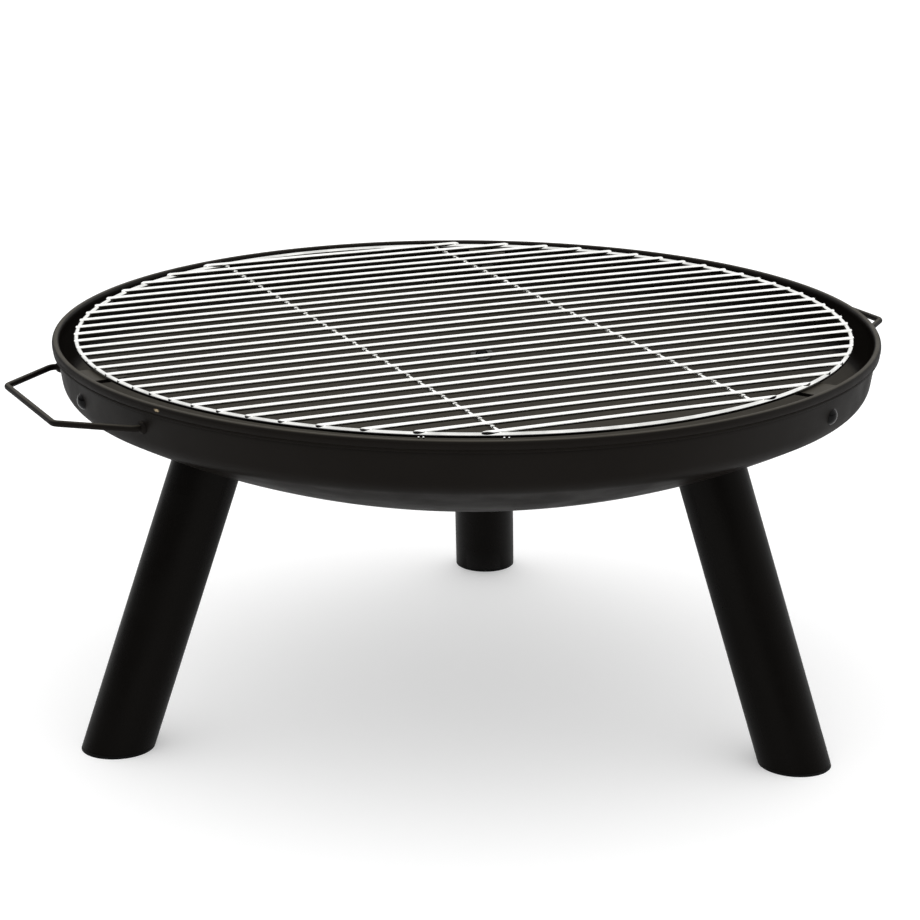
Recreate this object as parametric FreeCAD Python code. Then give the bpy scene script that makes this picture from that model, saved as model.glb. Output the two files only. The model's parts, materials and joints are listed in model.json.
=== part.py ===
import FreeCAD, Part
import math
import os

# Fire pit with a lift-off grate. Millimetres.
# Origin on the floor below the bowl axis, +Z up, +X along the line through the two handles.

V = FreeCAD.Vector
os.makedirs("parts", exist_ok=True)

# bowl
RIM_R = 400.0            # outer radius of the rolled rim
RIM_Z = 368.3            # height of the middle of the rolled rim
LIP_HALF_W = 3.5         # rolled rim, half width
LIP_HALF_H = 4.5         # rolled rim, half height
SHEET = 2.0              # bowl sheet thickness
WALL_TOP_Z = RIM_Z - 4.0
WALL_TOP_R = 396.15      # outer radius of the wall just under the rim
WALL_TAPER = math.atan(0.154)
KNUCKLE_R = 19.5         # outer radius of the bend between wall and dish
DISH_R = 791.0           # outer radius of the dished bottom
BOWL_DEPTH = 142.0       # wall top to the lowest point
DISH_CZ = WALL_TOP_Z - BOWL_DEPTH + DISH_R
COAT = 0.15              # powder coat between parts bolted to the bowl

# legs
LEG_AZ = {"left": 180.0, "right": 300.0, "rear": 60.0}
LEG_R = 33.0
LEG_SHEET = 2.0
LEG_FOOT_R = 370.6       # where the leg axis meets the floor
LEG_SPLAY = math.radians(19.9)
PLUG_FLANGE = 2.5        # height of the foot plug that shows under the tube
PLUG_DEPTH = 16.0
CAP_T = 5.0
LEG_BOLT_R = 2.0         # M5, drawn at the root of its thread
LEG_BOLT_HEAD_R = 6.8
LEG_BOLT_HEAD_H = 3.3
LEG_WASHER_R = 12.0

# grate
GRATE_Y = 6.0            # the grate lies loose, this far off the bowl axis
GRATE_TURN = math.radians(-2.15)
GRATE_Z = 369.2          # middle of the ring wire
RING_R = 375.1
RING_WIRE_R = 2.5
BAR_R = 2.0
BAR_COUNT = 28
BAR_PITCH = 25.87
BAR_SHIFT = -1.35        # the set of bars, off the ring's own centre line
BAR_LIFT = 2.8           # middle of a bar above the middle of the ring wire
BAR_OVERHANG = 2.4       # bar ends past the middle of the ring wire
CROSS_R = 2.0
CROSS_AT = 122.7
WELD_SINK = 0.15         # how far welded wires are pressed into each other

# grate brackets
BRACKET_W = 40.0
BRACKET_T = 3.0
BRACKET_IN_R = 355.0
BRACKET_TOP = GRATE_Z - RING_WIRE_R
BRACKET_LOW = 335.5
BOLT_Z = 343.0
BOLT_R = 2.0             # M5, drawn at the root of its thread
BOLT_PLAY = 0.1
BOLT_HEAD_R = 7.8
BOLT_HEAD_H = 4.2
NUT_AF = 8.0
NUT_H = 4.7
WASHER_R = 6.5
WASHER_T = 1.6

# handles
HANDLE_ROD_R = 3.0
HANDLE_Z = 346.5
HANDLE_OUT = 442.0       # middle of the outer rod from the bowl axis
HANDLE_HALF = 69.0       # half length between the outer corners
HANDLE_ROOT_AZ = math.radians(17.0)
HANDLE_ROOT_OUT = 8.0    # straight stub between the wall and the first bend
HANDLE_BEND = 9.0
WELD_R = 5.6
WELD_H = 4.0


def wall_r(z):
    """Outer radius of the tapered wall at height z."""
    return WALL_TOP_R - math.tan(WALL_TAPER) * (WALL_TOP_Z - z)


def pt(r, z):
    return V(r, 0, z)


def profile(points):
    """Closed face in the XZ plane from straight points."""
    return Part.Face(Part.makePolygon([pt(r, z) for r, z in points + points[:1]]))


def spin(face, angle=360.0):
    return face.revolve(V(0, 0, 0), V(0, 0, 1), angle)


def at_azimuth(shape, degrees):
    turned = shape.copy()
    turned.rotate(V(0, 0, 0), V(0, 0, 1), degrees)
    return turned


def knuckle_centre():
    """Centre of the bend circle tangent to the wall line and the dish circle."""
    ca = math.cos(WALL_TAPER)
    sa = math.sin(WALL_TAPER)
    ar = WALL_TOP_R - KNUCKLE_R * ca
    az = WALL_TOP_Z + KNUCKLE_R * sa - DISH_CZ
    along = -ar * sa - az * ca
    reach = (DISH_R - KNUCKLE_R) ** 2 - ar * ar - az * az
    down = -along + math.sqrt(along * along + reach)
    return ar - down * sa, az + DISH_CZ - down * ca


def bowl_skin(inset, top_z):
    """Edges of the bowl surface moved inwards by inset, from the axis to top_z."""
    cr, cz = knuckle_centre()
    dish = DISH_R - inset
    bend = KNUCKLE_R - inset
    ca = math.cos(WALL_TAPER)
    sa = math.sin(WALL_TAPER)
    join = math.atan2(cz - DISH_CZ, cr)
    mid_dish = (join - math.pi / 2) / 2
    bottom = pt(0, DISH_CZ - dish)
    on_dish = pt(dish * math.cos(mid_dish), DISH_CZ + dish * math.sin(mid_dish))
    tangent = pt(dish * math.cos(join), DISH_CZ + dish * math.sin(join))
    mid_bend = (join - WALL_TAPER) / 2
    on_bend = pt(cr + bend * math.cos(mid_bend), cz + bend * math.sin(mid_bend))
    wall_foot = pt(cr + bend * ca, cz - bend * sa)
    top = pt(wall_foot.x + (top_z - wall_foot.z) * sa / ca, top_z)
    edges = [
        Part.Arc(bottom, on_dish, tangent).toShape(),
        Part.Arc(tangent, on_bend, wall_foot).toShape(),
        Part.makeLine(wall_foot, top),
    ]
    return edges, bottom, top


def solid_below_skin(inset, top_z):
    """Filled solid bounded by the bowl surface moved inwards by inset."""
    edges, bottom, top = bowl_skin(inset, top_z)
    edges.append(Part.makeLine(top, pt(0, top_z)))
    edges.append(Part.makeLine(pt(0, top_z), bottom))
    return spin(Part.Face(Part.Wire(edges)))


def lip():
    """Rolled rim: an upright ellipse swept round the bowl."""
    ring = Part.Ellipse(V(0, 0, 0), LIP_HALF_H, LIP_HALF_W).toShape()
    face = Part.Face(Part.Wire(ring))
    face.rotate(V(0, 0, 0), V(0, 1, 0), -90)
    face.rotate(V(0, 0, 0), V(0, 0, 1), -90)
    face.translate(pt(RIM_R - LIP_HALF_W, RIM_Z))
    return spin(face)


def rod_between(a, b, radius):
    axis = b.sub(a)
    return Part.makeCylinder(radius, axis.Length, a, axis)


def wall_frame(degrees):
    """Point on the outer wall at bolt height and the outward normal there."""
    az = math.radians(degrees)
    r = wall_r(BOLT_Z)
    point = V(r * math.cos(az), r * math.sin(az), BOLT_Z)
    ca = math.cos(WALL_TAPER)
    normal = V(ca * math.cos(az), ca * math.sin(az), -math.sin(WALL_TAPER))
    return point, normal


def hexagon_bar(across_flats, height, base, axis):
    """Hexagonal prism starting at base and running along axis."""
    radius = across_flats / 2 / math.cos(math.pi / 6)
    corners = []
    for i in range(7):
        a = math.radians(60 * i)
        corners.append(V(radius * math.cos(a), radius * math.sin(a), 0))
    prism = Part.Face(Part.makePolygon(corners)).extrude(V(0, 0, height))
    prism.Placement = FreeCAD.Placement(base, FreeCAD.Rotation(V(0, 0, 1), axis))
    return prism


def dome(radius, height, base, axis):
    """Low domed bolt head standing on base along axis."""
    ball = (radius * radius + height * height) / (2 * height)
    cap = Part.makeSphere(ball, V(0, 0, height - ball))
    keep = Part.makeCylinder(radius, height)
    head = cap.common(keep)
    head.Placement = FreeCAD.Placement(base, FreeCAD.Rotation(V(0, 0, 1), axis))
    return head


def leg_axis():
    foot = V(LEG_FOOT_R, 0, 0)
    up = V(-math.sin(LEG_SPLAY), 0, math.cos(LEG_SPLAY))
    return foot, up


def along_leg(t):
    foot, up = leg_axis()
    return foot.add(V(up).multiply(t))


def leg_length(radius):
    """Distance along the leg axis from the floor to the dish sphere of that radius."""
    foot, up = leg_axis()
    rel = foot.sub(V(0, 0, DISH_CZ))
    b = rel.dot(up)
    c = rel.dot(rel) - radius * radius
    return -b - math.sqrt(b * b - c)


def build_bowl():
    outer = solid_below_skin(0.0, RIM_Z - 1.0)
    inner = solid_below_skin(SHEET, RIM_Z + 10.0)
    body = outer.cut(inner).fuse(lip()).removeSplitter()
    for degrees in LEG_AZ.values():
        point, normal = wall_frame(degrees)
        start = point.sub(V(normal).multiply(12))
        body = body.cut(Part.makeCylinder(BOLT_R + BOLT_PLAY, 24, start, normal))
        top = leg_length(DISH_R)
        hole = rod_between(along_leg(top - 8), along_leg(top + 12), LEG_BOLT_R + BOLT_PLAY)
        body = body.cut(at_azimuth(hole, degrees))
    return body


def build_leg():
    """One leg tube in the XZ plane, cut level at the foot and dished at the top."""
    outer = rod_between(along_leg(-40), along_leg(340), LEG_R)
    inner = rod_between(along_leg(-50), along_leg(350), LEG_R - LEG_SHEET)
    floor = Part.makeBox(600, 200, 200 + PLUG_FLANGE, V(100, -100, -200))
    dish = Part.makeSphere(DISH_R + COAT, V(0, 0, DISH_CZ))
    return outer.cut(inner).cut(floor).cut(dish)


def build_plug():
    """Foot plug: a flange as wide as the tube and a hollow ribbed body inside it."""
    slab = Part.makeBox(600, 200, PLUG_FLANGE, V(100, -100, 0))
    flange = rod_between(along_leg(-40), along_leg(60), LEG_R - 0.1).common(slab)
    deep = Part.makeBox(600, 200, PLUG_DEPTH - PLUG_FLANGE, V(100, -100, PLUG_FLANGE))
    snug = LEG_R - LEG_SHEET - 0.05
    body = rod_between(along_leg(-40), along_leg(60), snug - 1.0).common(deep)
    for i in range(3):
        z = PLUG_FLANGE + 2.5 + 4.0 * i
        layer = Part.makeBox(600, 200, 1.2, V(100, -100, z))
        body = body.fuse(rod_between(along_leg(-40), along_leg(60), snug).common(layer))
    pocket = Part.makeBox(600, 200, 60, V(100, -100, PLUG_FLANGE))
    hollow = rod_between(along_leg(-40), along_leg(60), snug - 4.0).common(pocket)
    return flange.fuse(body).cut(hollow).removeSplitter()


def build_cap():
    """Disc welded inside the top of the tube, lying against the dish."""
    top = leg_length(DISH_R)
    disc = rod_between(along_leg(top - CAP_T), along_leg(top + 6), LEG_R - LEG_SHEET - 0.05)
    disc = disc.cut(Part.makeSphere(DISH_R + COAT, V(0, 0, DISH_CZ)))
    hole = rod_between(along_leg(top - 20), along_leg(top + 20), LEG_BOLT_R + BOLT_PLAY)
    return disc.cut(hole)


def build_leg_bolt():
    """Dome head inside the bowl, shank down through the dish and the cap."""
    seat = leg_length(DISH_R - SHEET) + COAT + WASHER_T
    foot, up = leg_axis()
    head = dome(LEG_BOLT_HEAD_R, LEG_BOLT_HEAD_H, along_leg(seat), up)
    low = leg_length(DISH_R) - CAP_T - 12.0
    return head.fuse(rod_between(along_leg(low), along_leg(seat), LEG_BOLT_R)).removeSplitter()


def build_leg_washer():
    seat = leg_length(DISH_R - SHEET) + COAT
    ring = rod_between(along_leg(seat), along_leg(seat + WASHER_T), LEG_WASHER_R)
    return ring.cut(rod_between(along_leg(seat - 1), along_leg(seat + 4), LEG_BOLT_R + BOLT_PLAY))


def build_leg_nut():
    foot, up = leg_axis()
    low = leg_length(DISH_R) - CAP_T - NUT_H
    nut = hexagon_bar(NUT_AF, NUT_H, along_leg(low), up)
    return nut.cut(rod_between(along_leg(low - 1), along_leg(low + 8), LEG_BOLT_R))


def build_bracket():
    """Bent strip: a leg against the wall and a tab reaching in under the ring."""
    tan = math.tan(WALL_TAPER)
    back = SHEET / math.cos(WALL_TAPER) + COAT
    front = back + BRACKET_T / math.cos(WALL_TAPER)
    under = BRACKET_TOP - BRACKET_T
    outline = [
        (wall_r(BRACKET_LOW) - back, BRACKET_LOW),
        (wall_r(under) - back - 1.2, under),
        (wall_r(under) - back - 1.2, BRACKET_TOP),
        (BRACKET_IN_R, BRACKET_TOP),
        (BRACKET_IN_R, under),
        (wall_r(under) - front - 2.0, under),
        (wall_r(under - 2.0) - front, under - 2.0),
        (wall_r(BRACKET_LOW) - front, BRACKET_LOW),
    ]
    sector = spin(profile(outline), 12.0)
    sector = at_azimuth(sector, -6.0)
    strip = Part.makeBox(200, BRACKET_W, 80, V(300, -BRACKET_W / 2, 310))
    bracket = sector.common(strip)
    corners = [e for e in bracket.Edges if is_tab_corner(e)]
    bracket = bracket.makeFillet(6.0, corners)
    point, normal = wall_frame(0.0)
    start = point.sub(V(normal).multiply(12))
    return bracket.cut(Part.makeCylinder(BOLT_R + BOLT_PLAY, 24, start, normal))


def is_tab_corner(edge):
    """Upright edges at the two free corners of the tab."""
    a = edge.Vertexes[0].Point
    b = edge.Vertexes[-1].Point
    upright = abs(a.z - b.z) > BRACKET_T * 0.9
    return upright and max(a.x, b.x) < BRACKET_IN_R + 1.0 and abs(a.x - b.x) < 0.1


def build_bracket_bolt(degrees):
    point, normal = wall_frame(degrees)
    head = dome(BOLT_HEAD_R, BOLT_HEAD_H, point, normal)
    inner = SHEET + COAT + BRACKET_T + WASHER_T + NUT_H + 3.0
    start = point.sub(V(normal).multiply(inner))
    shank = Part.makeCylinder(BOLT_R, inner, start, normal)
    return head.fuse(shank).removeSplitter()


def build_bracket_washer(degrees):
    point, normal = wall_frame(degrees)
    depth = SHEET + COAT + BRACKET_T + COAT
    start = point.sub(V(normal).multiply(depth + WASHER_T))
    ring = Part.makeCylinder(WASHER_R, WASHER_T, start, normal)
    return ring.cut(Part.makeCylinder(BOLT_R + BOLT_PLAY, 10, start.sub(V(normal).multiply(2)), normal))


def build_bracket_nut(degrees):
    point, normal = wall_frame(degrees)
    depth = SHEET + COAT + BRACKET_T + COAT + WASHER_T
    start = point.sub(V(normal).multiply(depth + NUT_H))
    nut = hexagon_bar(NUT_AF, NUT_H, start, normal)
    return nut.cut(Part.makeCylinder(BOLT_R, 12, start.sub(V(normal).multiply(2)), normal))


def handle_points():
    """Corner points of the right handle rod, from one root to the other."""
    r = wall_r(HANDLE_Z)
    inside = r - 3.0
    stub = r + HANDLE_ROOT_OUT
    c = math.cos(HANDLE_ROOT_AZ)
    s = math.sin(HANDLE_ROOT_AZ)
    half = [V(inside * c, inside * s, HANDLE_Z), V(stub * c, stub * s, HANDLE_Z)]
    half.append(V(HANDLE_OUT, HANDLE_HALF, HANDLE_Z))
    mirrored = [V(p.x, -p.y, p.z) for p in reversed(half)]
    return half + mirrored


def bent_path(points, bend):
    """Wire of straight runs joined by tangent arcs of the bend radius."""
    edges = []
    last = points[0]
    for i in range(1, len(points) - 1):
        here = points[i]
        back = points[i - 1].sub(here).normalize()
        ahead = points[i + 1].sub(here).normalize()
        half = math.acos(max(-1.0, min(1.0, back.dot(ahead)))) / 2
        trim = bend / math.tan(half)
        start = here.add(V(back).multiply(trim))
        end = here.add(V(ahead).multiply(trim))
        middle = back.add(ahead).normalize()
        centre = here.add(V(middle).multiply(bend / math.sin(half)))
        mid = centre.sub(V(middle).multiply(bend))
        edges.append(Part.makeLine(last, start))
        edges.append(Part.Arc(start, mid, end).toShape())
        last = end
    edges.append(Part.makeLine(last, points[-1]))
    return Part.Wire(edges)


def build_handle():
    points = handle_points()
    path = bent_path(points, HANDLE_BEND)
    direction = points[1].sub(points[0])
    section = Part.Wire(Part.makeCircle(HANDLE_ROD_R, points[0], direction))
    rod = path.makePipeShell([section], True, True)
    return rod.cut(solid_below_skin(0.0, RIM_Z - 5.0))


def build_handle_weld(sign):
    """Weld bead round one root of the right handle rod."""
    points = handle_points()
    root = points[0]
    out = points[1].sub(root).normalize()
    if sign < 0:
        root = V(root.x, -root.y, root.z)
        out = V(out.x, -out.y, out.z)
    bead = Part.makeCone(WELD_R + 1.4, HANDLE_ROD_R, 3.0 + WELD_H, root, out)
    bore = Part.makeCylinder(HANDLE_ROD_R, 40, root.sub(V(out).multiply(10)), out)
    return bead.cut(bore).cut(solid_below_skin(0.0, RIM_Z - 5.0))


def place_grate(shape):
    moved = shape.copy()
    moved.rotate(V(0, 0, 0), V(0, 0, 1), math.degrees(GRATE_TURN))
    moved.translate(V(0, GRATE_Y, 0))
    return moved


def grate_ring():
    return Part.makeTorus(RING_R, RING_WIRE_R, V(0, 0, GRATE_Z))


def build_bar(index, ring):
    """A top wire, pressed into the ring, its ends trimmed to the ring's outer edge."""
    offset = BAR_PITCH * (index - (BAR_COUNT - 1) / 2) + BAR_SHIFT
    reach = RING_R + BAR_OVERHANG
    half = math.sqrt(reach ** 2 - (abs(offset) - BAR_R) ** 2) + 1
    z = GRATE_Z + BAR_LIFT
    wire = rod_between(V(-half, offset, z), V(half, offset, z), BAR_R)
    wire = wire.common(Part.makeCylinder(reach, 20, V(0, 0, z - 10)))
    return max(wire.cut(ring).Solids, key=lambda s: s.Volume)


def build_cross(side, ring):
    z = GRATE_Z + BAR_LIFT - BAR_R - CROSS_R + WELD_SINK
    half = math.sqrt(RING_R ** 2 - CROSS_AT ** 2)
    wire = rod_between(V(side * CROSS_AT, -half, z), V(side * CROSS_AT, half, z), CROSS_R)
    pieces = wire.cut(ring).Solids
    return max(pieces, key=lambda s: s.Volume)


def save(name, shape):
    if isinstance(shape, list):
        shape = Part.makeCompound(shape)
    shape.exportStep("parts/" + name + ".step")


save("bowl", build_bowl())

leg = build_leg()
plug = build_plug()
cap = build_cap()
bracket = build_bracket()
for side, degrees in LEG_AZ.items():
    save("leg_" + side, at_azimuth(leg, degrees))
    save("foot_plug_" + side, at_azimuth(plug, degrees))
    save("leg_cap_" + side, at_azimuth(cap, degrees))
    save("grate_bracket_" + side, at_azimuth(bracket, degrees))

angles = list(LEG_AZ.values())
leg_bolt = build_leg_bolt()
leg_washer = build_leg_washer()
leg_nut = build_leg_nut()
save("leg_bolts", [at_azimuth(leg_bolt, a) for a in angles])
save("leg_washers", [at_azimuth(leg_washer, a) for a in angles])
save("leg_nuts", [at_azimuth(leg_nut, a) for a in angles])
save("bracket_bolts", [build_bracket_bolt(a) for a in angles])
save("bracket_washers", [build_bracket_washer(a) for a in angles])
save("bracket_nuts", [build_bracket_nut(a) for a in angles])

handle = build_handle()
save("handle_right", handle)
save("handle_left", at_azimuth(handle, 180))
welds = [build_handle_weld(1), build_handle_weld(-1)]
save("handle_welds", welds + [at_azimuth(w, 180) for w in welds])

ring = grate_ring()
save("grate_ring", place_grate(ring))
save("cross_wire_left", place_grate(build_cross(-1, ring)))
save("cross_wire_right", place_grate(build_cross(1, ring)))
for i in range(BAR_COUNT):
    save("bar_%02d" % (i + 1), place_grate(build_bar(i, ring)))
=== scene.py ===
import json
import math
import random

import bpy
from mathutils import Matrix, Vector, noise


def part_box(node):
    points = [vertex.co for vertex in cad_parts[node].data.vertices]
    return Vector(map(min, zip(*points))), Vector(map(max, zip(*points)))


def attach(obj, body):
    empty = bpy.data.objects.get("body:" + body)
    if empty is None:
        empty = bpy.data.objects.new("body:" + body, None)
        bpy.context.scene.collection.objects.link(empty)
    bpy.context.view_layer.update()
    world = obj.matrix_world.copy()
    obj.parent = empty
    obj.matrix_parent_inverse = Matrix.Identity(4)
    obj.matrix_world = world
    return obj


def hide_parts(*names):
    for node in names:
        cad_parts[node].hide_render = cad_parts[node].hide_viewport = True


# A fire pit with a lift-off grate. Metres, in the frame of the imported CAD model:
# origin on the floor below the bowl axis, +Z up, +X through the right handle.

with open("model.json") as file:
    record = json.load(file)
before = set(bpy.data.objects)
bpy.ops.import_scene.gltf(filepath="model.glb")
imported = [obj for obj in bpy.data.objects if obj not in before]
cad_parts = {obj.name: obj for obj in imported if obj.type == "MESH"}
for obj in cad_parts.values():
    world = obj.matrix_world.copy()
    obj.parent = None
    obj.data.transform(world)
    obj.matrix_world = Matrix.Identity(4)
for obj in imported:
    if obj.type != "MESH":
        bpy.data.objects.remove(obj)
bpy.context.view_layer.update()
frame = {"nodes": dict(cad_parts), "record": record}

PIT = "fire_pit"
GRATE = "grate"

# bowl, with the sizes that its box doesn't give
bowl_low, bowl_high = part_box("bowl")
RIM_R = bowl_high.x
RIM_TOP = bowl_high.z
BOWL_BOTTOM = bowl_low.z
SHEET = 0.002
BEAD_HALF_W = 0.0035          # rolled rim, half width and half height
BEAD_HALF_H = 0.0045
WALL_TAPER = math.atan(0.154)
WALL_TOP_R = 0.39615          # outer radius of the wall just under the rolled rim
WALL_TOP_Z = RIM_TOP - 0.0085
LEDGE_H = 0.0026              # edge of the rolled sheet, showing as a second line below the bead
BEAD_POWER = 2.0 / 2.3        # under 1, so the bead is a little fuller than an ellipse
BEAD_START = -52              # the bead's turn, in degrees from its outermost point
BEAD_SWEEP = 257
KNUCKLE_R = 0.0195            # bend between wall and dish, outer radius
DISH_R = 0.791                # dished bottom, outer radius
DISH_CZ = BOWL_BOTTOM + DISH_R
BOWL_SEGMENTS = 320
DISH_STEPS = 44
BEND_STEPS = 12
WALL_STEPS = 8
BEAD_STEPS = 28

# legs
LEG_AZIMUTH = {"left": 180.0, "right": 300.0, "rear": 60.0}
LEG_R = 0.033
LEG_SHEET = 0.002
LEG_FOOT_R = 0.3706
LEG_SPLAY = math.radians(19.9)
LEG_GAP = 0.00015             # paint between the tube's end and the dish
LEG_EDGE = 0.0004             # rounding of the cut edges
LEG_SIDES = 96
LEG_STEPS = 10
PLUG_FLANGE = 0.0025

# grate
GRATE_TURN = math.radians(-2.15)
RING_WIRE_R = 0.0025
BAR_R = 0.002
BAR_COUNT = 28
BAR_PITCH = 0.02587
BAR_SHIFT = -0.00135          # the set of bars, off the ring's own centre line
BAR_LIFT = 0.0028             # middle of a bar above the middle of the ring wire
BAR_OVERHANG = 0.0024         # bar ends past the middle of the ring wire
BAR_DROP = 0.0012             # how much lower the ends of the longest bars are pressed
BAR_SAG = 0.00018             # most that a single bar is bent
# a bar's domed end: share of the radius, and distance in from the trimmed end
BAR_TIP = [(0.25, 0.0), (0.6, 0.00012), (0.84, 0.0005), (0.96, 0.0011)]
BAR_TIP_LENGTH = 0.002
BAR_ROWS = 36
CROSS_AT = 0.1227
CROSS_STEPS = 40
WELD_SINK = 0.00015           # how far welded wires are pressed into each other
SEAM_AT = math.radians(97)    # the ring's own butt weld
SEAM_SWELL = 0.0003
SEAM_HALF_W = 0.002
RING_SEGMENTS = 480
WIRE_SIDES = 20
BLOB_LUMP = 0.18
BLOB_LUMP_SCALE = 1.7
ring_low, ring_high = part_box("grate_ring")
RING_CENTRE = (ring_low + ring_high) / 2
RING_R = (ring_high.x - ring_low.x) / 2 - RING_WIRE_R

# handles
HANDLE_ROD_R = 0.003
HANDLE_ROOT_AZ = math.radians(17.0)
HANDLE_ROOT_OUT = 0.008
HANDLE_HALF = 0.069
HANDLE_BEND = 0.009
HANDLE_SIDES = 28
HANDLE_STEP = 0.004
BEND_POINTS = 8
COLLAR = [(0.0028, -0.0016), (0.0062, -0.0012), (0.0058, 0.0006), (0.0047, 0.0022),
          (0.0036, 0.0032), (0.0029, 0.0034)]     # weld bead: radius, distance out from the wall
COLLAR_SIDES = 40
COLLAR_LUMP = 0.09
handle_low, handle_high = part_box("handle_right")
HANDLE_Z = (handle_low.z + handle_high.z) / 2
HANDLE_OUT = handle_high.x - HANDLE_ROD_R

SHARP_EDGE = math.radians(38)
UP = Vector((0, 0, 1))


# ---------------------------------------------------------------- mesh helpers

def make_piece(name, verts, faces, body, material, replaced=()):
    """A smooth-shaded mesh object that rides on a CAD body."""
    mesh = bpy.data.meshes.new(name)
    mesh.from_pydata([tuple(v) for v in verts], [], faces)
    mesh.validate()
    mesh.polygons.foreach_set("use_smooth", [True] * len(mesh.polygons))
    mesh.set_sharp_from_angle(angle=SHARP_EDGE)
    mesh.materials.append(material)
    piece = bpy.data.objects.new(name, mesh)
    bpy.context.scene.collection.objects.link(piece)
    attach(piece, body)
    if replaced:
        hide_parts(*replaced)
    return piece


def arc(cx, cy, radius, start, end, steps):
    """Points from angle start to end, both in radians and both included."""
    turn = (end - start) / steps
    angles = [start + turn * i for i in range(steps + 1)]
    return [(cx + radius * math.cos(a), cy + radius * math.sin(a)) for a in angles]


def grid_faces(rows, columns, first=0):
    """Quads between rows of points; each row is a closed loop of columns points."""
    faces = []
    for i in range(rows - 1):
        for j in range(columns):
            a = first + i * columns + j
            b = first + i * columns + (j + 1) % columns
            faces.append((a, b, b + columns, a + columns))
    return faces


def torus_faces(rows, columns):
    """Quads between rows of points, with the last row joined to the first."""
    faces = grid_faces(rows, columns)
    last = (rows - 1) * columns
    for j in range(columns):
        k = (j + 1) % columns
        faces.append((last + j, last + k, k, j))
    return faces


def capped_faces(rows, columns):
    """Quads between rows of points, with the first and last rows closed by one face each."""
    faces = grid_faces(rows, columns)
    faces.append(tuple(range(columns)))
    end = (rows - 1) * columns
    faces.append(tuple(reversed(range(end, end + columns))))
    return faces


def flipped(faces):
    return [tuple(reversed(f)) for f in faces]


def lathe(outline, segments):
    """Verts and faces of a closed solid of revolution about Z.

    outline runs from the axis, round the outside, back to the axis.
    """
    verts = [Vector((0, 0, outline[0][1]))]
    for r, z in outline[1:-1]:
        for j in range(segments):
            a = 2 * math.pi * j / segments
            verts.append(Vector((r * math.cos(a), r * math.sin(a), z)))
    verts.append(Vector((0, 0, outline[-1][1])))
    rows = len(outline) - 2
    faces = grid_faces(rows, segments, first=1)
    last = 1 + (rows - 1) * segments
    for j in range(segments):
        k = (j + 1) % segments
        faces.append((0, 1 + k, 1 + j))
        faces.append((len(verts) - 1, last + j, last + k))
    return verts, faces


def frames_along(points):
    """Two cross axes at each point of a level path."""
    pairs = []
    for i, p in enumerate(points):
        ahead = points[min(i + 1, len(points) - 1)] - points[max(i - 1, 0)]
        side = ahead.cross(UP).normalized()
        pairs.append((side, side.cross(ahead).normalized()))
    return pairs


def rod(points, radius, sides):
    """Verts and faces of a round rod along points, closed at both ends."""
    verts = []
    for p, (side, over) in zip(points, frames_along(points)):
        for j in range(sides):
            a = 2 * math.pi * j / sides
            verts.append(p + radius * (math.cos(a) * side + math.sin(a) * over))
    return verts, capped_faces(len(points), sides)


def join(parts):
    """One list of verts and faces out of several."""
    verts = []
    faces = []
    for part_verts, part_faces in parts:
        base = len(verts)
        verts.extend(part_verts)
        faces.extend(tuple(base + i for i in f) for f in part_faces)
    return verts, faces


def blob(centre, axes, seed, rings=6, sides=10):
    """A lumpy closed bead; axes are its three half axes as vectors."""
    verts = []
    for i in range(1, rings):
        t = math.pi * i / rings
        for j in range(sides):
            a = 2 * math.pi * j / sides
            d = Vector((math.sin(t) * math.cos(a), math.sin(t) * math.sin(a), math.cos(t)))
            verts.append(d)
    verts.append(Vector((0, 0, 1)))
    verts.append(Vector((0, 0, -1)))
    shaped = []
    for d in verts:
        place = d * BLOB_LUMP_SCALE + Vector((seed * 3.1, seed * 1.3, 0))
        swell = 1 + BLOB_LUMP * noise.noise(place)
        shaped.append(centre + swell * (d.x * axes[0] + d.y * axes[1] + d.z * axes[2]))
    faces = grid_faces(rings - 1, sides)
    top = len(verts) - 2
    last = (rings - 2) * sides
    for j in range(sides):
        k = (j + 1) % sides
        faces.append((top, k, j))
        faces.append((top + 1, last + j, last + k))
    return shaped, flipped(faces)


# ---------------------------------------------------------------- materials

NOISE_ROUGHNESS = 0.55
PEEL_SCALE = 900.0            # grain of sprayed powder, also the ragged edge of the chip
PEEL_HEIGHT = 0.00004
WAVE_HEIGHT = 0.0006
DENT_HEIGHT = 0.00003
# Painted light: faces that look up are mixed towards a lighter tone, standing in for light
# falling from above.
TOP_LIT_FROM = (0.84, 0.98)     # how far up a face has to look before it gets the painted top light
TOP_LIGHT_TONE = (0.05, 0.045, 0.036)
# Painted shade: the dark tone that chrome wires fade to on faces that look down.
UNDERSIDE_SHADE = (0.02, 0.019, 0.018)
COAT_DARK = (0.005, 0.0041, 0.0034)
COAT_LIGHT = (0.0066, 0.0055, 0.0047)
LEG_DARK = (0.0018, 0.0015, 0.0013)
LEG_LIGHT = (0.0027, 0.0023, 0.002)
EDGE_SHEEN = 0.1              # share of the gloss that is left where a coat is seen edge-on
CHIP_TONE = (0.34, 0.27, 0.17)
CHIP_AT = math.radians(-158.9)
CHIP_R = RIM_R - 0.0004
CHIP_PLACE = (CHIP_R * math.cos(CHIP_AT), CHIP_R * math.sin(CHIP_AT), RIM_TOP - 0.0038)
CHIP_SIZE = (0.0042, 0.0075, 0.0028)


def new_material(name):
    material = bpy.data.materials.new(name)
    material.use_nodes = True
    nodes = material.node_tree.nodes
    links = material.node_tree.links
    return material, nodes, links, nodes["Principled BSDF"]


def object_coords(nodes):
    return nodes.new("ShaderNodeTexCoord").outputs["Object"]


def noise_tex(nodes, links, coords, scale, detail=3.0):
    tex = nodes.new("ShaderNodeTexNoise")
    tex.inputs["Scale"].default_value = scale
    tex.inputs["Detail"].default_value = detail
    tex.inputs["Roughness"].default_value = NOISE_ROUGHNESS
    links.new(coords, tex.inputs["Vector"])
    return tex.outputs["Fac"]


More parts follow.
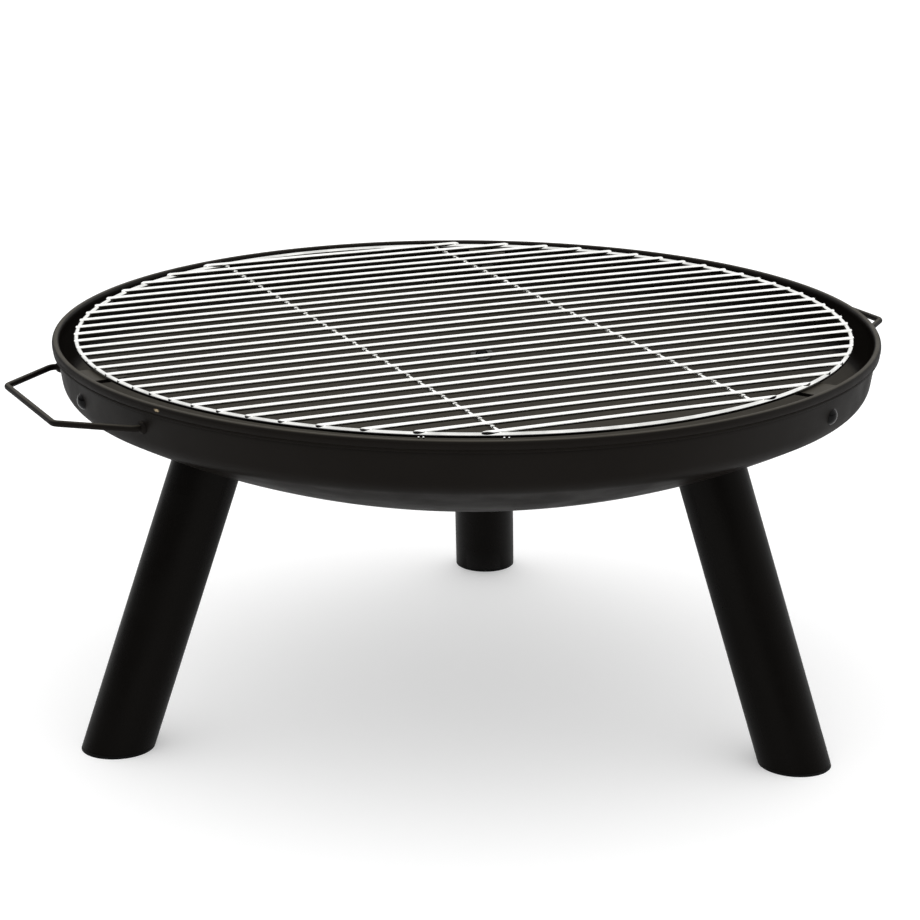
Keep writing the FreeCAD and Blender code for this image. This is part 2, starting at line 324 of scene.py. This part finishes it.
def ramp(nodes, links, fac, stops):
    """Colour ramp from (position, colour) stops; a colour may be one grey number."""
    node = nodes.new("ShaderNodeValToRGB")
    elements = node.color_ramp.elements
    while len(elements) < len(stops):
        elements.new(0.5)
    for element, (position, colour) in zip(elements, stops):
        element.position = position
        if isinstance(colour, (int, float)):
            colour = (colour, colour, colour)
        element.color = (*colour, 1.0)
    links.new(fac, node.inputs["Fac"])
    return node.outputs["Color"]


def bump(nodes, links, height, distance, normal=None):
    node = nodes.new("ShaderNodeBump")
    node.inputs["Distance"].default_value = distance
    node.inputs["Strength"].default_value = 1.0
    links.new(height, node.inputs["Height"])
    if normal is not None:
        links.new(normal, node.inputs["Normal"])
    return node.outputs["Normal"]


def mix_colour(nodes, links, fac, a, b):
    node = nodes.new("ShaderNodeMix")
    node.data_type = "RGBA"
    links.new(fac, node.inputs["Factor"])
    for socket, value in (("A", a), ("B", b)):
        target = [s for s in node.inputs if s.name == socket and s.type == "RGBA"][0]
        if isinstance(value, tuple):
            target.default_value = (*value, 1.0)
        else:
            links.new(value, target)
    return [s for s in node.outputs if s.type == "RGBA"][0]


def upward(nodes, links, start, end):
    """0 to 1 between two tilts, where a face that looks down is 0, an upright one 0.5, up 1."""
    split = nodes.new("ShaderNodeSeparateXYZ")
    links.new(nodes.new("ShaderNodeNewGeometry").outputs["Normal"], split.inputs["Vector"])
    half = nodes.new("ShaderNodeMath")
    half.operation = "MULTIPLY_ADD"
    half.inputs[1].default_value = 0.5
    half.inputs[2].default_value = 0.5
    links.new(split.outputs["Z"], half.inputs[0])
    return ramp(nodes, links, half.outputs["Value"], [(start, 0.0), (end, 1.0)])


def spot_mask(nodes, links, coords, centre, scales):
    """1 inside a ragged-edged ellipsoid round centre, 0 outside."""
    shift = nodes.new("ShaderNodeVectorMath")
    shift.operation = "SUBTRACT"
    shift.inputs[1].default_value = centre
    links.new(coords, shift.inputs[0])
    size = nodes.new("ShaderNodeVectorMath")
    size.operation = "DIVIDE"
    size.inputs[1].default_value = scales
    links.new(shift.outputs["Vector"], size.inputs[0])
    length = nodes.new("ShaderNodeVectorMath")
    length.operation = "LENGTH"
    links.new(size.outputs["Vector"], length.inputs[0])
    ragged = nodes.new("ShaderNodeMath")
    ragged.operation = "MULTIPLY_ADD"
    ragged.inputs[1].default_value = 0.9
    links.new(noise_tex(nodes, links, coords, PEEL_SCALE), ragged.inputs[0])
    links.new(length.outputs["Value"], ragged.inputs[2])
    return ramp(nodes, links, ragged.outputs["Value"], [(0.75, 1.0), (0.95, 0.0)])


def powder_coat(name, dark, light, rough, specular, top_light=None, chip=None):
    """Satin powder coat: fine orange peel, slow tone changes, slightly uneven sheen.

    The tone for faces that look up is a painted highlight standing in for light from above; chip
    is the place and size of bare primer.
    """
    material, nodes, links, shader = new_material(name)
    coords = object_coords(nodes)
    tone = noise_tex(nodes, links, coords, 9.0, detail=4.0)
    colour = ramp(nodes, links, tone, [(0.3, dark), (0.7, light)])
    # painted highlight: lighter tone on faces that look up
    if top_light:
        colour = mix_colour(nodes, links, upward(nodes, links, *TOP_LIT_FROM), colour, top_light)
    if chip:
        bare = spot_mask(nodes, links, coords, *chip)
        colour = mix_colour(nodes, links, bare, colour, CHIP_TONE)
    links.new(colour, shader.inputs["Base Color"])
    haze = noise_tex(nodes, links, coords, 26.0, detail=3.0)
    gloss = ramp(nodes, links, haze, [(0.3, rough - 0.05), (0.7, rough + 0.05)])
    links.new(gloss, shader.inputs["Roughness"])
    peel = noise_tex(nodes, links, coords, PEEL_SCALE, detail=2.0)
    slow = noise_tex(nodes, links, coords, 14.0, detail=1.0)
    waves = bump(nodes, links, slow, WAVE_HEIGHT)
    links.new(bump(nodes, links, peel, PEEL_HEIGHT, normal=waves), shader.inputs["Normal"])
    facing = nodes.new("ShaderNodeLayerWeight").outputs["Facing"]
    sheen = ramp(nodes, links, facing, [(0.35, specular), (0.85, specular * EDGE_SHEEN)])
    links.new(sheen, shader.inputs["Specular IOR Level"])
    tint = ramp(nodes, links, tone, [(0.3, (1.0, 0.95, 0.88)), (0.7, (1.0, 0.97, 0.92))])
    links.new(tint, shader.inputs["Specular Tint"])
    return material


def chrome(name, dull, bright, shade_line, fade):
    """Plated wire with duller patches, and painted shade fading in below the shade line: a dark
    underside standing in for shade and for the dark bowl it reflects.
    """
    material, nodes, links, shader = new_material(name)
    coords = object_coords(nodes)
    patches = noise_tex(nodes, links, coords, 38.0, detail=4.0)
    tint = ramp(nodes, links, patches, [(0.35, dull), (0.65, bright)])
    # painted shade: 0 on faces that look down, 1 above the shade line
    unshaded = upward(nodes, links, shade_line - fade, shade_line + fade)
    links.new(mix_colour(nodes, links, unshaded, UNDERSIDE_SHADE, tint), shader.inputs["Base Color"])
    gloss = ramp(nodes, links, patches, [(0.3, 0.22), (0.7, 0.12)])
    links.new(gloss, shader.inputs["Roughness"])
    dents = noise_tex(nodes, links, coords, 320.0, detail=2.0)
    links.new(bump(nodes, links, dents, DENT_HEIGHT), shader.inputs["Normal"])
    shader.inputs["Metallic"].default_value = 1.0
    return material


def gloss_black(name):
    """Black enamelled bolt heads, with faint dents."""
    material, nodes, links, shader = new_material(name)
    coords = object_coords(nodes)
    tone = noise_tex(nodes, links, coords, 60.0)
    base = ramp(nodes, links, tone, [(0.3, 0.001), (0.7, 0.002)])
    links.new(base, shader.inputs["Base Color"])
    links.new(ramp(nodes, links, tone, [(0.3, 0.16), (0.7, 0.26)]), shader.inputs["Roughness"])
    dents = noise_tex(nodes, links, coords, 500.0)
    links.new(bump(nodes, links, dents, DENT_HEIGHT), shader.inputs["Normal"])
    shader.inputs["Specular IOR Level"].default_value = 0.09
    return material


def zinc(name):
    """Dull plated steel of the hidden nuts and washers."""
    material, nodes, links, shader = new_material(name)
    coords = object_coords(nodes)
    tone = noise_tex(nodes, links, coords, 220.0, detail=4.0)
    base = ramp(nodes, links, tone, [(0.3, (0.09, 0.09, 0.09)), (0.7, (0.15, 0.145, 0.135))])
    links.new(base, shader.inputs["Base Color"])
    links.new(ramp(nodes, links, tone, [(0.3, 0.3), (0.7, 0.45)]), shader.inputs["Roughness"])
    links.new(bump(nodes, links, tone, 0.00004), shader.inputs["Normal"])
    shader.inputs["Metallic"].default_value = 1.0
    return material


def plug_plastic(name):
    """Moulded black plastic, matt and finely grained."""
    material, nodes, links, shader = new_material(name)
    coords = object_coords(nodes)
    tone = noise_tex(nodes, links, coords, 300.0, detail=3.0)
    base = ramp(nodes, links, tone, [(0.3, 0.002), (0.7, 0.0035)])
    links.new(base, shader.inputs["Base Color"])
    links.new(ramp(nodes, links, tone, [(0.3, 0.5), (0.7, 0.65)]), shader.inputs["Roughness"])
    links.new(bump(nodes, links, tone, 0.00008), shader.inputs["Normal"])
    shader.inputs["Specular IOR Level"].default_value = 0.08
    return material


# the bowl coat carries the painted top light on faces that look up
BOWL_COAT = powder_coat("bowl_coat_m", COAT_DARK, COAT_LIGHT, 0.4, 0.05, TOP_LIGHT_TONE,
                        (CHIP_PLACE, CHIP_SIZE))
LEG_COAT = powder_coat("leg_coat_m", LEG_DARK, LEG_LIGHT, 0.28, 0.05)
# The three chrome materials are the same plating and differ mainly in painted shade: how high
# the dark underside reaches, and for the ring a darker tint.
CHROME = chrome("chrome_m", (0.8, 0.8, 0.77), (0.9, 0.9, 0.88), 0.3, 0.08)
BAR_CHROME = chrome("bar_chrome_m", (0.78, 0.78, 0.75), (0.9, 0.9, 0.88), 0.36, 0.16)
# painted shade: the ring wire gets a darker copy of the same chrome, standing in for the less
# light it catches below the bars
SHADED_RING_CHROME = chrome("ring_chrome_shaded_m", (0.56, 0.56, 0.54), (0.74, 0.74, 0.72), 0.42, 0.08)
GLOSS_BLACK = gloss_black("gloss_black_m")
ZINC = zinc("zinc_m")
PLASTIC = plug_plastic("plug_plastic_m")
MATERIAL_OF_SLOT = {
    "bowl_coat": BOWL_COAT,
    "leg_coat": LEG_COAT,
    "grate_chrome": CHROME,
    "black_bolt": GLOSS_BLACK,
    "zinc_steel": ZINC,
    "plug_plastic": PLASTIC,
}


def dress_cad_nodes():
    """Gives every carried-over CAD node the material of its slot in the record."""
    for part in frame["record"]["subparts"]:
        node = frame["nodes"][part["node"]]
        node.data.materials.clear()
        node.data.materials.append(MATERIAL_OF_SLOT[part["material_slot"]])


# ---------------------------------------------------------------- bowl

def knuckle_centre():
    """Centre of the bend circle tangent to the wall line and the dish circle."""
    ca = math.cos(WALL_TAPER)
    sa = math.sin(WALL_TAPER)
    ar = WALL_TOP_R - KNUCKLE_R * ca
    az = WALL_TOP_Z + KNUCKLE_R * sa - DISH_CZ
    along = -ar * sa - az * ca
    reach = (DISH_R - KNUCKLE_R) ** 2 - ar * ar - az * az
    down = -along + math.sqrt(along * along + reach)
    return ar - down * sa, az + DISH_CZ - down * ca


def skin(inset):
    """Bowl outline from the axis to the top of the wall, moved inwards by inset."""
    cr, cz = knuckle_centre()
    join_angle = math.atan2(cz - DISH_CZ, cr)
    dish = arc(0, DISH_CZ, DISH_R - inset, -math.pi / 2, join_angle, DISH_STEPS)
    bend = arc(cr, cz, KNUCKLE_R - inset, join_angle, -WALL_TAPER, BEND_STEPS)
    foot_r, foot_z = bend[-1]
    rise = WALL_TOP_Z - LEDGE_H - foot_z
    wall = []
    for i in range(1, WALL_STEPS + 1):
        h = rise * i / WALL_STEPS
        wall.append((foot_r + h * math.tan(WALL_TAPER), foot_z + h))
    return dish + bend[1:] + wall


def bead_outline():
    """Rolled rim from the sheet's turned edge, over the top of the bead, to its inside."""
    cr = RIM_R - BEAD_HALF_W
    cz = RIM_TOP - BEAD_HALF_H
    ledge_z = WALL_TOP_Z - LEDGE_H + 0.0004
    points = [(RIM_R - 0.0034, ledge_z), (RIM_R - 0.0016, ledge_z - 0.0002),
              (RIM_R - 0.0009, ledge_z + 0.0003), (RIM_R - 0.0007, ledge_z + 0.001),
              (RIM_R - 0.001, ledge_z + 0.0018), (RIM_R - 0.0018, ledge_z + 0.0023)]
    for i in range(BEAD_STEPS + 1):
        a = math.radians(BEAD_START + BEAD_SWEEP * i / BEAD_STEPS)
        c = math.cos(a)
        s = math.sin(a)
        r = cr + BEAD_HALF_W * math.copysign(abs(c) ** BEAD_POWER, c)
        z = cz + BEAD_HALF_H * math.copysign(abs(s) ** BEAD_POWER, s)
        points.append((r, z))
    return points


def build_bowl():
    outer = skin(0.0)
    inner = skin(SHEET)
    groove_r = outer[-1][0] - 0.0003
    groove = [(groove_r, outer[-1][1] + 0.0008), (groove_r + 0.0004, outer[-1][1] + 0.0012)]
    outline = outer + groove + bead_outline() + list(reversed(inner))
    verts, faces = lathe(outline, BOWL_SEGMENTS)
    make_piece("bowl_shell", verts, faces, PIT, BOWL_COAT, ["bowl"])


# ---------------------------------------------------------------- legs

def leg_axis(degrees):
    turn = Matrix.Rotation(math.radians(degrees), 3, "Z")
    foot = turn @ Vector((LEG_FOOT_R, 0, 0))
    up = turn @ Vector((-math.sin(LEG_SPLAY), 0, math.cos(LEG_SPLAY)))
    side = turn @ Vector((0, 1, 0))
    return foot, up, side


def leg_ends(start, up):
    """Distances along up from start to the plug's flange and to the dish."""
    low = (PLUG_FLANGE - start.z) / up.z
    rel = start - Vector((0, 0, DISH_CZ))
    b = rel.dot(up)
    c = rel.length_squared - (DISH_R + LEG_GAP) ** 2
    return low, -b - math.sqrt(b * b - c)


def build_leg(side_name, degrees):
    foot, up, side = leg_axis(degrees)
    out = up.cross(side)
    inner_r = LEG_R - LEG_SHEET
    shares = [i / LEG_STEPS for i in range(LEG_STEPS + 1)]
    rows = [(LEG_R - LEG_EDGE, 0.0, 0)]
    rows += [(LEG_R, share, LEG_EDGE) for share in shares]
    rows += [(LEG_R - LEG_EDGE, 1.0, 0), (inner_r + LEG_EDGE, 1.0, 0)]
    rows += [(inner_r, share, LEG_EDGE) for share in reversed(shares)]
    rows += [(inner_r + LEG_EDGE, 0.0, 0)]
    verts = []
    for radius, share, inset in rows:
        for j in range(LEG_SIDES):
            a = 2 * math.pi * j / LEG_SIDES
            start = foot + radius * (math.cos(a) * out + math.sin(a) * side)
            low, high = leg_ends(start, up)
            low += inset
            high -= inset
            verts.append(start + (low + (high - low) * share) * up)
    name = "leg_" + side_name
    make_piece("tube_" + name, verts, torus_faces(len(rows), LEG_SIDES), PIT,
               LEG_COAT, [name])


# ---------------------------------------------------------------- handles

def bent_path(corners, bend, steps):
    """Points along straight runs joined by tangent arcs."""
    points = [corners[0]]
    for i in range(1, len(corners) - 1):
        here = corners[i]
        back = (corners[i - 1] - here).normalized()
        ahead = (corners[i + 1] - here).normalized()
        half = back.angle(ahead) / 2
        trim = bend / math.tan(half)
        middle = (back + ahead).normalized()
        centre = here + middle * (bend / math.sin(half))
        start = here + back * trim - centre
        end = here + ahead * trim - centre
        for k in range(steps + 1):
            spoke = start.normalized().slerp(end.normalized(), k / steps)
            points.append(centre + bend * spoke)
    points.append(corners[-1])
    return points


def subdivided(points, longest):
    """The same path with no step longer than longest."""
    result = [points[0]]
    for a, b in zip(points, points[1:]):
        count = max(1, math.ceil((b - a).length / longest))
        for k in range(1, count + 1):
            result.append(a.lerp(b, k / count))
    return result


def wall_radius(z):
    return WALL_TOP_R - math.tan(WALL_TAPER) * (WALL_TOP_Z - z)


def build_handle(name, degrees):
    turn = Matrix.Rotation(math.radians(degrees), 3, "Z")
    r = wall_radius(HANDLE_Z)
    c = math.cos(HANDLE_ROOT_AZ)
    s = math.sin(HANDLE_ROOT_AZ)
    inside = r - SHEET / 2
    stub = r + HANDLE_ROOT_OUT
    half = [Vector((inside * c, inside * s, HANDLE_Z)), Vector((stub * c, stub * s, HANDLE_Z))]
    half.append(Vector((HANDLE_OUT, HANDLE_HALF, HANDLE_Z)))
    corners = half + [Vector((p.x, -p.y, p.z)) for p in reversed(half)]
    path = subdivided(bent_path(corners, HANDLE_BEND, BEND_POINTS), HANDLE_STEP)
    path = [turn @ p for p in path]
    verts, faces = rod(path, HANDLE_ROD_R, HANDLE_SIDES)
    make_piece("rod_" + name, verts, faces, PIT, BOWL_COAT, [name])


def weld_collar(root, out, seed):
    """Lumpy bead round a rod where it meets the wall."""
    across = out.cross(UP).normalized()
    over = across.cross(out)
    verts = []
    for radius, along in COLLAR:
        for j in range(COLLAR_SIDES):
            a = 2 * math.pi * j / COLLAR_SIDES
            d = math.cos(a) * across + math.sin(a) * over
            lump = 1 + COLLAR_LUMP * noise.noise(d * 2.6 + Vector((seed, along * 300, 0)))
            verts.append(root + radius * lump * d + along * lump * out)
    return verts, torus_faces(len(COLLAR), COLLAR_SIDES)


def build_handle_welds():
    parts = []
    r = wall_radius(HANDLE_Z)
    roots = (HANDLE_ROOT_AZ, -HANDLE_ROOT_AZ, math.pi - HANDLE_ROOT_AZ, math.pi + HANDLE_ROOT_AZ)
    for i, a in enumerate(roots):
        out = Vector((math.cos(a), math.sin(a), 0))
        parts.append(weld_collar(out * r + HANDLE_Z * UP, out, 7.0 * i))
    verts, faces = join(parts)
    make_piece("handle_weld_beads", verts, faces, PIT, BOWL_COAT, ["handle_welds"])


# ---------------------------------------------------------------- grate

ALONG = Vector((math.cos(GRATE_TURN), math.sin(GRATE_TURN), 0))
ACROSS = Vector((-ALONG.y, ALONG.x, 0))
BAR_Z = RING_CENTRE.z + BAR_LIFT
CROSS_Z = BAR_Z - 2 * BAR_R + WELD_SINK


def on_grate(x, y, z):
    """Point from the grate's own axes, with z as a height above the floor."""
    flat = Vector((RING_CENTRE.x, RING_CENTRE.y, z))
    return flat + x * ALONG + y * ACROSS


def bar_offset(index):
    return BAR_PITCH * (index - (BAR_COUNT - 1) / 2) + BAR_SHIFT


def bar_height(x):
    """Middle of a bar above the floor: highest half way along, pressed down at the ring."""
    return BAR_Z - BAR_DROP * (x / RING_R) ** 2


def build_ring():
    """The ring wire, with the small swelling of its own butt weld at the back."""
    verts = []
    for i in range(RING_SEGMENTS):
        a = 2 * math.pi * i / RING_SEGMENTS
        off = (a - SEAM_AT) * RING_R
        radius = RING_WIRE_R + SEAM_SWELL * math.exp(-(off / SEAM_HALF_W) ** 2)
        d = Vector((math.cos(a), math.sin(a), 0))
        centre = RING_CENTRE + RING_R * d
        for j in range(WIRE_SIDES):
            b = 2 * math.pi * j / WIRE_SIDES
            reach = radius if math.cos(b) > 0 else RING_WIRE_R
            verts.append(centre + reach * math.cos(b) * d + RING_WIRE_R * math.sin(b) * UP)
    make_piece("ring_wire", verts, flipped(torus_faces(RING_SEGMENTS, WIRE_SIDES)), GRATE,
               SHADED_RING_CHROME, ["grate_ring"])


def build_bar(index, rng):
    """A wire pressed into the ring, with both ends trimmed along the ring's outer edge."""
    offset = bar_offset(index)
    reach = RING_R + BAR_OVERHANG
    phase = rng.uniform(0, math.tau)
    sag = rng.uniform(0.0, BAR_SAG)
    profile = BAR_TIP + [(1.0, BAR_TIP_LENGTH)] * BAR_ROWS + BAR_TIP[::-1]
    verts = []
    for i, (width, inset) in enumerate(profile):
        share = min(max((i - len(BAR_TIP)) / (BAR_ROWS - 1), 0.0), 1.0)
        radius = BAR_R * width
        for j in range(WIRE_SIDES):
            a = math.tau * j / WIRE_SIDES
            y = offset + radius * math.cos(a)
            half = math.sqrt(reach * reach - y * y) - inset
            x = half * (2 * share - 1)
            dip = sag * math.sin(math.pi * share) * (1 + math.sin(phase + 9 * share))
            verts.append(on_grate(x, y, bar_height(x) + radius * math.sin(a) - dip))
    name = "bar_%02d" % (index + 1)
    make_piece("wire_" + name, verts, flipped(capped_faces(len(profile), WIRE_SIDES)), GRATE,
               BAR_CHROME, [name])


def build_cross(name, side):
    half = math.sqrt(RING_R ** 2 - CROSS_AT ** 2)
    points = []
    for i in range(CROSS_STEPS + 1):
        points.append(on_grate(side * CROSS_AT, half * (2 * i / CROSS_STEPS - 1), CROSS_Z))
    verts, faces = rod(points, BAR_R, WIRE_SIDES)
    make_piece("wire_" + name, verts, faces, GRATE, CHROME, [name])


def ring_axes(x, y):
    """Outward and sideways directions of the ring below a point of the grate."""
    out = on_grate(x, y, RING_CENTRE.z) - RING_CENTRE
    out.normalize()
    return out, UP.cross(out)


def ring_weld(x, y, seed):
    """Fillets that the wire's end squeezed out along the ring, either side of it."""
    out, tangent = ring_axes(x, y)
    slant = max(abs(out.dot(ALONG)), 0.34)
    at = on_grate(x, y, RING_CENTRE.z + 0.0017)
    parts = []
    for side in (-1, 1):
        spot = at + side * (BAR_R / slant + 0.0002) * tangent
        axes = (0.0017 * tangent, 0.0016 * out, 0.0011 * UP)
        parts.append(blob(spot, axes, seed + side))
    return parts


def weld_drops(x, y, seed):
    """Two small beads of metal left on the ring's outer face under a wire's end."""
    out, tangent = ring_axes(x, y)
    parts = []
    for k, shift in enumerate((-0.0022, 0.0020)):
        spot = on_grate(x, y, RING_CENTRE.z - 0.0019) + shift * tangent + 0.0019 * out
        axes = (0.0012 * tangent, 0.0011 * out, 0.0013 * UP)
        parts.append(blob(spot, axes, seed + k))
    return parts


def build_welds():
    """Resistance welds of bars to ring and cross wires, and of cross wires to ring."""
    ring_parts = []
    cross_parts = []
    for i in range(BAR_COUNT):
        y = bar_offset(i)
        half = math.sqrt(RING_R ** 2 - y * y)
        for side in (-1, 1):
            ring_parts += ring_weld(side * half, y, 2 * i + side)
            for near in (-1, 1):
                at = on_grate(side * CROSS_AT, y + near * 0.0013, BAR_Z - BAR_R - 0.0004)
                axes = (0.0027 * ALONG, 0.0013 * ACROSS, 0.0012 * UP)
                cross_parts.append(blob(at, axes, 5 * i + side + near))
    end = math.sqrt(RING_R ** 2 - CROSS_AT ** 2)
    for side in (-1, 1):
        for far in (-1, 1):
            out, tangent = ring_axes(side * CROSS_AT, far * end)
            at = on_grate(side * CROSS_AT, far * end, CROSS_Z + 0.0012) - 0.0022 * out
            axes = (0.0034 * tangent, 0.0022 * out, 0.0016 * UP)
            ring_parts.append(blob(at, axes, 90 + 2 * side + far, rings=8, sides=12))
    left = -math.sqrt(RING_R ** 2 - bar_offset(1) ** 2)
    ring_parts += weld_drops(left, bar_offset(1), 31)
    ring_parts += weld_drops(-CROSS_AT, -end, 33)
    verts, faces = join(ring_parts)
    make_piece("ring_weld_beads", verts, faces, GRATE, CHROME)
    verts, faces = join(cross_parts)
    make_piece("cross_weld_beads", verts, faces, GRATE, CHROME)


def build_grate():
    build_ring()
    rng = random.Random(28)
    for i in range(BAR_COUNT):
        build_bar(i, rng)
    build_cross("cross_wire_left", -1)
    build_cross("cross_wire_right", 1)
    build_welds()


# ---------------------------------------------------------------- stage

CAMERA_HEADING = math.radians(-27.65)   # from +Y, turned towards +X
CAMERA_AZIMUTH = math.radians(-26.73)
CAMERA_OUT = 2.429
CAMERA_HEIGHT = 0.974
CAMERA_PITCH = math.radians(16.84)
CAMERA_ROLL = math.radians(0.52)
SENSOR_WIDTH = 36.0           # millimetres, as is the lens
LENS = 100.25
CAMERA_SHIFT = (-0.0505, -0.0034)

FLOOR_HALF = 40.0
FLOOR_TONE = 0.8
FLOOR_GLOW = 0.3              # keeps the floor white where the object doesn't shade it

# brightness by direction: how far a direction leans towards LIGHT_SIDE, and how bright it is
LIGHT_SIDE = (0.22, 0.1, 0.97)
LIGHT_STOPS = [(0.0, 0.22), (0.12, 0.5), (0.4, 1.0), (1.0, 0.9)]
WORLD_STRENGTH = 1.4


def build_camera():
    """The view fitted to the reference: low, from the front and a little to the left."""
    data = bpy.data.cameras.new("camera")
    data.sensor_width = SENSOR_WIDTH
    data.lens = LENS
    data.shift_x, data.shift_y = CAMERA_SHIFT
    data.clip_end = 100.0
    camera = bpy.data.objects.new("camera", data)
    bpy.context.scene.collection.objects.link(camera)
    place = Vector((math.sin(CAMERA_AZIMUTH), -math.cos(CAMERA_AZIMUTH), 0)) * CAMERA_OUT
    place.z = CAMERA_HEIGHT
    heading = Matrix.Rotation(CAMERA_HEADING, 4, "Z")
    pitch = Matrix.Rotation(math.pi / 2 - CAMERA_PITCH, 4, "X")
    roll = Matrix.Rotation(CAMERA_ROLL, 4, "Z")
    camera.matrix_world = Matrix.Translation(place) @ heading @ pitch @ roll
    bpy.context.scene.camera = camera


def build_floor():
    corners = ((-1, -1), (1, -1), (1, 1), (-1, 1))
    verts = [(FLOOR_HALF * x, FLOOR_HALF * y, 0) for x, y in corners]
    mesh = bpy.data.meshes.new("floor")
    mesh.from_pydata(verts, [], [(0, 1, 2, 3)])
    floor = bpy.data.objects.new("floor", mesh)
    bpy.context.scene.collection.objects.link(floor)
    material, _, _, shader = new_material("floor_m")
    shader.inputs["Base Color"].default_value = (FLOOR_TONE, FLOOR_TONE, FLOOR_TONE, 1)
    shader.inputs["Roughness"].default_value = 0.8
    shader.inputs["Specular IOR Level"].default_value = 0.1
    shader.inputs["Emission Color"].default_value = (1, 1, 1, 1)
    shader.inputs["Emission Strength"].default_value = FLOOR_GLOW
    mesh.materials.append(material)


def build_world():
    """White studio: bright above, a little more so on the right, and dimmer near the floor."""
    world = bpy.data.worlds.new("studio")
    world.use_nodes = True
    nodes = world.node_tree.nodes
    links = world.node_tree.links
    coords = nodes.new("ShaderNodeTexCoord")
    toward = nodes.new("ShaderNodeVectorMath")
    toward.operation = "DOT_PRODUCT"
    toward.inputs[1].default_value = LIGHT_SIDE
    links.new(coords.outputs["Generated"], toward.inputs[0])
    shade = ramp(nodes, links, toward.outputs["Value"], LIGHT_STOPS)
    background = nodes["Background"]
    links.new(shade, background.inputs["Color"])
    background.inputs["Strength"].default_value = WORLD_STRENGTH
    bpy.context.scene.world = world


build_camera()
build_floor()
build_world()
bpy.context.scene.view_settings.view_transform = "Standard"

dress_cad_nodes()
build_bowl()
for leg_name, leg_degrees in LEG_AZIMUTH.items():
    build_leg(leg_name, leg_degrees)
build_handle("handle_right", 0)
build_handle("handle_left", 180)
build_handle_welds()
build_grate()
